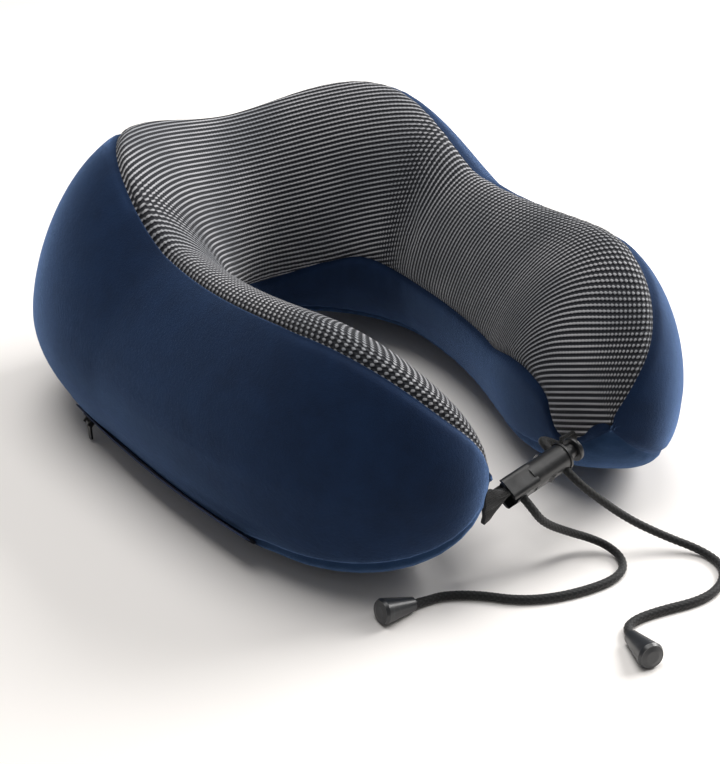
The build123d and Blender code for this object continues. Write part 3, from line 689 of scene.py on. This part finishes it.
def cover_panel(name, filled, normals, panel, zip_edge=None, unevenness=0.0007):
    """One sewn panel of the cover, its edges drawn down into the seams."""
    names = list(PANEL_STEPS)
    first = COLUMN_STARTS[names.index(panel)]
    steps = PANEL_STEPS[panel]
    total = filled.shape[1]
    used = [(first + j) % total for j in range(steps + 1)]
    strip = filled[:, used]
    fine_rings = np.linspace(0, len(strip) - 1, (len(strip) - 1) * 2 + 1)
    share = np.interp(fine_rings, np.arange(len(RING_SHARE)), RING_SHARE)
    side = np.where(fine_rings < (len(strip) - 1) / 2, -1.0, 1.0)
    where = panel_columns(steps)
    strip = catmull(catmull(strip, fine_rings).transpose(1, 0, 2), where).transpose(1, 0, 2)
    normal = catmull(catmull(normals[:, used], fine_rings).transpose(1, 0, 2), where).transpose(1, 0, 2)
    normal = unit(normal)
    gaps = np.linalg.norm(np.diff(strip, axis=1), axis=-1)
    run = np.concatenate([np.zeros((len(strip), 1)), np.cumsum(gaps, axis=1)], 1)
    from_first = run
    from_last = run[:, -1:] - run
    scale = np.maximum(tip_scale(share), 0.12)[:, None]
    ring_run = np.concatenate([[0], np.cumsum(np.linalg.norm(np.diff(strip[:, steps], axis=0), axis=-1))])[:, None]
    drop = np.zeros(run.shape)
    for distance in (from_first, from_last):
        drop += SEAM_DEPTH * np.exp(-((distance / SEAM_REACH) ** 2)) * np.minimum(1, scale * 1.5)
        ripple = np.sin(2 * math.pi * ring_run / PUCKER_LENGTH + 2.5 * np.sin(ring_run * 61))
        drop += PUCKER_HEIGHT * ripple * np.exp(-distance / 0.006) * (1 - np.exp(-((distance / 0.0012) ** 2)))
    drop -= unevenness * soft_waves(strip) * np.minimum(1, np.minimum(from_first, from_last) / 0.02)
    if zip_edge is not None:
        distance = from_first if zip_edge == "first" else from_last
        zone = smooth_step(share, ZIP_FROM - 0.012, ZIP_FROM) * (1 - smooth_step(share, ZIP_TO, ZIP_TO + 0.012))
        zone = (zone * (side < 0))[:, None]
        bed = (ZIP_BED_DEPTH + ZIP_FLAP_RISE) * (1 - smooth_step(distance, ZIP_SLOT - 0.0003, ZIP_SLOT + 0.0005))
        flap = ZIP_FLAP_RISE * (1 - smooth_step(distance, ZIP_FLAP_REACH, ZIP_FLAP_REACH + 0.005))
        drop = drop * (1 - zone) + (bed - flap) * zone
    points = strip - normal * drop[..., None]
    points[..., 2] = np.maximum(points[..., 2], 0.0002)
    rings, columns = points.shape[:2]
    faces = []
    for i in range(rings - 1):
        for j in range(columns - 1):
            a = i * columns + j
            faces.append((a, a + 1, a + columns + 1, a + columns))
    piece = mesh_piece(name, points.reshape(-1, 3), faces)
    test = piece.data.polygons[(rings // 2) * (columns - 1) + columns // 2]
    outward = normal[rings // 2, columns // 2]
    if test.normal.dot(Vector(outward)) < 0:
        piece.data.flip_normals()
    if panel == "knit":
        lay_knit_flat(piece, rings, columns, share, run)
    wall = piece.modifiers.new("Wall", "SOLIDIFY")
    wall.thickness = COVER_THICKNESS
    wall.offset = -1.0
    apply_modifiers(piece)
    piece.data.shade_smooth()
    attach(piece, "pillow")
    return piece


def lay_knit_flat(piece, rings, columns, share, run):
    """Unrolls the knit as it was cut, at its real size: rows straight along the back and across the arms."""
    piece.data.uv_layers.new(name="knit")
    pick(piece)
    bpy.ops.object.mode_set(mode="EDIT")
    bpy.ops.mesh.select_all(action="SELECT")
    bpy.ops.uv.unwrap(method="MINIMUM_STRETCH", fill_holes=False, correct_aspect=False, margin=0.0, iterations=30)
    bpy.ops.object.mode_set(mode="OBJECT")
    layer = piece.data.uv_layers["knit"]
    corners = np.empty(len(piece.data.loops), int)
    piece.data.loops.foreach_get("vertex_index", corners)
    flat = np.empty(len(corners) * 2)
    layer.data.foreach_get("uv", flat)
    flat = flat.reshape(-1, 2)
    place = np.zeros((rings * columns, 2))
    place[corners] = flat
    grid = place.reshape(rings, columns, 2)
    points = points_of(piece).reshape(rings, columns, 3)
    real = np.linalg.norm(np.diff(points, axis=0), axis=-1).sum() + np.linalg.norm(np.diff(points, axis=1), axis=-1).sum()
    drawn = np.linalg.norm(np.diff(grid, axis=0), axis=-1).sum() + np.linalg.norm(np.diff(grid, axis=1), axis=-1).sum()
    middle = rings // 2
    down = grid[middle, 0] - grid[middle, -1]
    down /= np.linalg.norm(down)
    across = np.array([down[1], -down[0]])
    if (grid[-1, 0] - grid[0, 0]) @ across < 0:
        across = -across
    offset = flat - grid[middle, columns // 2]
    turned = np.stack([offset @ across, offset @ down], -1) * (real / drawn)
    layer.data.foreach_set("uv", turned.ravel())
    fraction = np.broadcast_to(np.linspace(0, 1, columns)[None, :], (rings, columns))
    steps = np.linalg.norm(np.diff(points[:, columns // 2], axis=0), axis=-1)
    length = np.concatenate([[0], np.cumsum(steps)])
    down_arm = np.abs(length - length[middle])[:, None]
    tilt = ROW_TILT * smooth_step(np.abs(share), 0.55, 0.95)[:, None]
    arms = piece.data.uv_layers.new(name="arm")
    down_rows = down_arm + tilt * (fraction - 0.5)
    falls = np.broadcast_to(np.array(TIP_FALL), points.shape).copy()
    falls[:middle, :, 0] *= -1
    fall = np.sum(points * falls, -1)
    for half in (slice(0, middle), slice(middle, rings)):
        joint = np.argmin(np.abs(share[half] - TIP_ROWS_FROM))
        start = down_rows[half][joint, columns // 2] - fall[half][joint, columns // 2]
        blend = smooth_step(share[half], TIP_ROWS_FROM - 0.09, TIP_ROWS_FROM + 0.09)[:, None]
        down_rows[half] += (fall[half] + start - down_rows[half]) * blend
    rows = np.stack([run, down_rows], -1)
    arms.data.foreach_set("uv", rows.reshape(-1, 2)[corners].ravel())
    zone = np.stack([fraction, np.broadcast_to(np.abs(share)[:, None], (rings, columns))], -1)
    zones = piece.data.uv_layers.new(name="zone")
    zones.data.foreach_set("uv", zone.reshape(-1, 2)[corners].ravel())


# ---- cords ----
def route_points(points, name):
    """Points read along the smooth line of a cord's route."""
    curve = bpy.data.curves.new(name + "_route", "CURVE")
    curve.dimensions = "3D"
    curve.resolution_u = 24
    spline = curve.splines.new("NURBS")
    spline.points.add(len(points) - 1)
    for point, place in zip(spline.points, points):
        point.co = (*place, 1)
    spline.order_u = 3
    spline.use_endpoint_u = True
    holder = bpy.data.objects.new(name + "_route", curve)
    bpy.context.scene.collection.objects.link(holder)
    bpy.context.view_layer.update()
    line = bpy.data.meshes.new_from_object(holder)
    found = np.array([v.co for v in line.vertices])
    bpy.data.objects.remove(holder, do_unlink=True)
    bpy.data.meshes.remove(line)
    return found


CORD_STEP = 0.00042
CORD_SIDES = 32
BRAID_PITCH = 0.0052
BRAID_RELIEF = 0.00024


def braided_cord(name, route, body):
    """A cord with the crowns of its crossing strands raised, swept along its route."""
    line = route_points(route, name)
    gaps = np.linalg.norm(np.diff(line, axis=0), axis=1)
    run = np.concatenate([[0], np.cumsum(gaps)])
    count = int(run[-1] / CORD_STEP)
    at = np.linspace(0, run[-1], count)
    centre = np.stack([np.interp(at, run, line[:, k]) for k in range(3)], -1)
    heading = np.gradient(centre, axis=0)
    heading /= np.linalg.norm(heading, axis=1, keepdims=True)
    sideways = np.zeros_like(centre)
    sideways[0] = np.cross(heading[0], (0, 0, 1.0))
    for i in range(count):
        previous = sideways[max(i - 1, 0)]
        previous = previous - heading[i] * np.dot(previous, heading[i])
        sideways[i] = previous / np.linalg.norm(previous)
    upward = np.cross(heading, sideways)
    around = np.arange(CORD_SIDES) / CORD_SIDES
    angle = 2 * math.pi * around[None, :]
    turn = 2 * math.pi * at[:, None] / BRAID_PITCH
    crown = np.abs(np.cos(3 * angle + turn)) * np.abs(np.cos(3 * angle - turn))
    radius = CORD_DIAMETER / 2 - BRAID_RELIEF * (1 - crown)
    ring = np.cos(angle)[..., None] * sideways[:, None] + np.sin(angle)[..., None] * upward[:, None]
    points = (centre[:, None] + ring * radius[..., None]).reshape(-1, 3)
    faces = []
    for i in range(count - 1):
        for j in range(CORD_SIDES):
            k = (j + 1) % CORD_SIDES
            faces.append((i * CORD_SIDES + j, i * CORD_SIDES + k, (i + 1) * CORD_SIDES + k, (i + 1) * CORD_SIDES + j))
    faces.append(tuple(range(CORD_SIDES))[::-1])
    faces.append(tuple((count - 1) * CORD_SIDES + j for j in range(CORD_SIDES)))
    piece = mesh_piece(name + "_braid", points, faces)
    first = piece.data.polygons[0]
    if first.normal.dot(first.center - Vector(centre[0])) < 0:
        piece.data.flip_normals()
    layer = piece.data.uv_layers.new(name="cord")
    for polygon in piece.data.polygons:
        columns = [piece.data.loops[k].vertex_index % CORD_SIDES for k in polygon.loop_indices]
        wraps = max(columns) == CORD_SIDES - 1 and min(columns) == 0 and len(columns) == 4
        for k, column in zip(polygon.loop_indices, columns):
            ring_number = piece.data.loops[k].vertex_index // CORD_SIDES
            u = 1.0 if wraps and column == 0 else column / CORD_SIDES
            layer.data[k].uv = (u, at[ring_number])
    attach(piece, body)
    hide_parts(name)
    return piece, centre, run[-1]


# ---- zipper ----
ZIP_TILT = math.radians(46.0)
TOOTH_PITCH = 0.0016


def zipper_row(name, node):
    """Coil loops side by side along one zipper tape, between the strip's ends."""
    strip = frame["nodes"][node]
    place = points_of(strip)
    middle = frame["joints_by_name"]["zipper_travel"]["pos_m"]
    flat = place[:, :2] - np.array(middle[:2])
    turn = np.unwrap(np.arctan2(flat[:, 1], flat[:, 0]) % (2 * math.pi))
    radius = np.linalg.norm(flat, axis=1)
    low, high = turn.min(), turn.max()
    mid_radius = (radius.min() + radius.max()) / 2
    mid_height = (place[:, 2].min() + place[:, 2].max()) / 2
    deselect_all()
    bpy.ops.mesh.primitive_torus_add(
        major_segments=14, minor_segments=7, major_radius=0.00056, minor_radius=0.0003, rotation=(math.pi / 2, 0, 0)
    )
    loop = bpy.context.object
    loop.scale = (1.25, 1.0, 1.0)
    apply_place(loop)
    shape = points_of(loop)
    polygons = [tuple(p.vertices) for p in loop.data.polygons]
    bpy.data.objects.remove(loop, do_unlink=True)
    count = int((high - low) * mid_radius / TOOTH_PITCH)
    tilt = math.pi / 2 - ZIP_TILT
    points = []
    faces = []
    for i in range(count):
        a = low + (high - low) * (i + 0.5) / count
        # the loop's own X lies across the band, which leans outward and down
        across = np.array([math.sin(tilt) * math.cos(a), math.sin(tilt) * math.sin(a), math.cos(tilt)])
        out = np.array([math.cos(tilt) * math.cos(a), math.cos(tilt) * math.sin(a), -math.sin(tilt)])
        tangent = np.array([-math.sin(a), math.cos(a), 0])
        centre = np.array([middle[0] + mid_radius * math.cos(a), middle[1] + mid_radius * math.sin(a), mid_height])
        base = len(points)
        for x, y, z in shape:
            points.append(centre + across * x + tangent * (y * 1.1) + out * z)
        faces.extend(tuple(base + k for k in polygon) for polygon in polygons)
    piece = mesh_piece(name, points, faces)
    fix_normals(piece)
    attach(piece, "pillow")
    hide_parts(node)
    return piece


def fix_normals(piece):
    pick(piece)
    bpy.ops.object.mode_set(mode="EDIT")
    bpy.ops.mesh.select_all(action="SELECT")
    bpy.ops.mesh.normals_make_consistent(inside=False)
    bpy.ops.object.mode_set(mode="OBJECT")


# ---- webbing tabs ----
CLASP_ORIGIN = Vector((-0.011389, -0.146904, 0.042925))
CLASP_ALONG = Vector((0.987672, 0.08641, 0.130526))
CLASP_ACROSS = Vector((-0.140494, 0.857042, 0.495722))
CLASP_UP = Vector((-0.069031, -0.507949, 0.858616))


def strap(name, start, end, spread, widths, thickness, bulge=0.0):
    """A short woven strap from start to end, with its width at each share of the way."""
    deselect_all()
    bpy.ops.mesh.primitive_grid_add(x_subdivisions=22, y_subdivisions=12, size=1.0)
    piece = bpy.context.object
    piece.name = name
    piece.data.name = name
    grid = points_of(piece) + np.array([0.5, 0.0, 0.0])
    start, end = np.array(start), np.array(end)
    turned = grid[:, :1] ** 1.5
    spread = unit(unit(np.array(spread[0])) * (1 - turned) + unit(np.array(spread[1])) * turned)
    away = unit(np.cross(end - start, spread))
    shares = np.linspace(0, 1, len(widths))
    width = np.interp(grid[:, 0], shares, widths)
    ripple = 0.0003 * np.sin(grid[:, 1] * 17 + grid[:, 0] * 5)
    lift = bulge * np.sin(math.pi * grid[:, 0]) * (1 - 2 * np.abs(grid[:, 1])) + ripple
    placed = start + (end - start) * grid[:, :1] + spread * (grid[:, 1] * width)[:, None] + away * lift[:, None]
    set_points(piece, placed)
    wall = piece.modifiers.new("Wall", "SOLIDIFY")
    wall.thickness = thickness
    wall.offset = 0.0
    edge = piece.modifiers.new("Edge", "BEVEL")
    edge.width = thickness * 0.25
    edge.segments = 2
    apply_modifiers(piece)
    fix_normals(piece)
    piece.data.shade_smooth()
    return piece


# ======== camera ========
def make_camera():
    eye = CAMERA_TARGET + CAMERA_DISTANCE * Vector(
        (
            math.sin(CAMERA_TURN) * math.cos(CAMERA_RISE),
            -math.cos(CAMERA_TURN) * math.cos(CAMERA_RISE),
            math.sin(CAMERA_RISE),
        )
    )
    data = bpy.data.cameras.new("camera")
    data.sensor_width = 36.0
    data.lens = CAMERA_LENS
    data.clip_start = 0.01
    camera = bpy.data.objects.new("camera", data)
    camera.location = eye
    camera.rotation_euler = (CAMERA_TARGET - eye).to_track_quat("-Z", "Y").to_euler()
    bpy.context.scene.collection.objects.link(camera)
    bpy.context.scene.camera = camera


make_camera()
frame["joints_by_name"] = {joint["name"]: joint for joint in frame["joints"]}
nodes = frame["nodes"]

# ======== cords and their bells ========
BLACK_BRAID = braid()
BELL_PLASTIC = moulded("bell_plastic", (0.020, 0.022, 0.025), 0.38, 0.25)
for cord_name, route, body, exit_point in (
    ("cord_left", CORD_LEFT, "plug", LEFT_EXIT),
    ("cord_right", CORD_RIGHT, "pillow", RIGHT_EXIT),
):
    cord_piece, line, cord_length = braided_cord(cord_name, route, body)
    paint(cord_piece, BLACK_BRAID)
    end = cord_name.split("_")[1]
    ends = [nodes["cord_bell_" + end], nodes["bell_plug_" + end]]
    [tuple(p) for p in line[::8]] + [tuple(line[-1])]
    for end_piece in ends:
        paint(end_piece, BELL_PLASTIC)

# ======== the cover ========
NAVY_VELOUR = velour("navy_velour", (0.0032, 0.0088, 0.026), (0.0080, 0.024, 0.068), 0.85)
# the base panel's velour is a lighter copy of the navy velour: partly the panel's other nap direction, partly painted
# floor-bounce light
BASE_VELOUR_PAINTED_BOUNCE = velour("base_velour_painted_bounce", (0.006, 0.018, 0.050), (0.0125, 0.040, 0.100), 0.9)
STRIPED_KNIT = knit()
filled = fill_the_cover()
normals = surface_normals(filled)
side_panel = cover_panel("side_cover_velour", filled, normals, "side", zip_edge="first")
knit_panel = cover_panel("mesh_panel_knit", filled, normals, "knit", unevenness=0.0005)
band_panel = cover_panel("inner_band_velour", filled, normals, "band")
base_panel = cover_panel("base_panel_velour", filled, normals, "base", zip_edge="last")
for piece, node, finish, slot in (
    (side_panel, "side_cover", NAVY_VELOUR, "velour"),
    (knit_panel, "mesh_panel", STRIPED_KNIT, "striped_mesh"),
    (band_panel, "inner_band", NAVY_VELOUR, "velour"),
    (base_panel, "base_panel", BASE_VELOUR_PAINTED_BOUNCE, "velour"),
):
    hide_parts(node)
    paint(piece, finish)
foam = foam_block()
paint(foam, open_cell_foam())
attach(foam, "pillow")
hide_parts("foam_core")

# ======== zipper ========
ZIPPER_TAPE = webbing("zipper_tape_weave", (0.008, 0.020, 0.06), (0.024, 0.050, 0.14))
ZIPPER_NYLON = moulded("zipper_nylon", (0.014, 0.030, 0.085), 0.5, 0.1)
DARK_LACQUER = lacquered_metal()
for level in ("upper", "lower"):
    paint(nodes["zipper_tape_" + level], ZIPPER_TAPE)
    paint(zipper_row("zipper_coil_" + level, "zipper_teeth_" + level), ZIPPER_NYLON)
for node in ("zipper_stops", "zipper_slider", "zipper_pull"):
    paint(nodes[node], DARK_LACQUER)

# ======== clasp ========
CLASP_PLASTIC = moulded("clasp_plastic", (0.0055, 0.006, 0.007), 0.34, 0.35)
PRONG_PLASTIC = moulded("prong_plastic", (0.007, 0.0075, 0.009), 0.30, 0.4)
for node in ("clasp_plug", "clasp_socket", "lock_button"):
    paint(nodes[node], CLASP_PLASTIC)
for node in ("release_prong_front", "release_prong_back"):
    paint(nodes[node], PRONG_PLASTIC)
paint(nodes["lock_spring"], spring_steel())
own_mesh(nodes["lock_spring"])

# ======== webbing tabs ========
BLACK_WEBBING = webbing("black_webbing", (0.004, 0.0045, 0.005), (0.030, 0.031, 0.033))
bar = CLASP_ORIGIN - 0.014 * CLASP_ALONG
sewn = bar - 0.0145 * CLASP_ALONG
left_strap = strap(
    "tip_tab_left_webbing",
    sewn,
    bar + 0.0012 * CLASP_ALONG,
    ((0, 0, 1), CLASP_UP),
    [0.0170, 0.0160, 0.0110, 0.0078, 0.0076],
    0.0022,
    0.0006,
)
paint(left_strap, BLACK_WEBBING)
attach(left_strap, "pillow")
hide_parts("tip_tab_left")
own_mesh(left_strap)
right_strap = strap(
    "tip_tab_right_webbing", (0.0318, -0.1305, 0.0382), (0.0212, -0.1305, 0.0388), ((0, 0, 1), (0, 0, 1)), [0.012, 0.012, 0.010], 0.0016
)
paint(right_strap, BLACK_WEBBING)
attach(right_strap, "pillow")
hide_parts("tip_tab_right")


# ======== floor, light ========
def make_floor():
    deselect_all()
    bpy.ops.mesh.primitive_plane_add(size=8.0, location=(0, 0, 0))
    floor = bpy.context.object
    floor.name = "floor"
    finish = Finish("pale_floor", 0.75, Specular_IOR_Level=0.2)
    tone = finish.noise(finish.place(), 3.0, 2.0)
    finish.set("Base Color", finish.blend(tone, (0.90, 0.875, 0.85, 1), (0.93, 0.905, 0.88, 1)))
    paint(floor, finish)


def soft_light(name, place, target, width, height, power, colour):
    data = bpy.data.lights.new(name, "AREA")
    data.shape = "RECTANGLE"
    data.size = width
    data.size_y = height
    data.energy = power
    data.color = colour
    light = bpy.data.objects.new(name, data)
    light.location = place
    light.rotation_euler = (Vector(target) - Vector(place)).to_track_quat("-Z", "Y").to_euler()
    bpy.context.scene.collection.objects.link(light)


make_floor()
soft_light("window", (1.30, -0.15, 0.95), (0, 0, 0.05), 0.9, 0.9, 34, (1.0, 0.985, 0.97))
soft_light("overhead", (0.0, 0.35, 1.9), (0, 0, 0), 1.5, 1.5, 30, (1.0, 0.985, 0.97))
world = bpy.context.scene.world or bpy.data.worlds.new("world")
bpy.context.scene.world = world
world.use_nodes = True
world.node_tree.nodes["Background"].inputs["Color"].default_value = (1.0, 0.985, 0.97, 1)
world.node_tree.nodes["Background"].inputs["Strength"].default_value = 0.17
bpy.context.scene.view_settings.view_transform = "Standard"
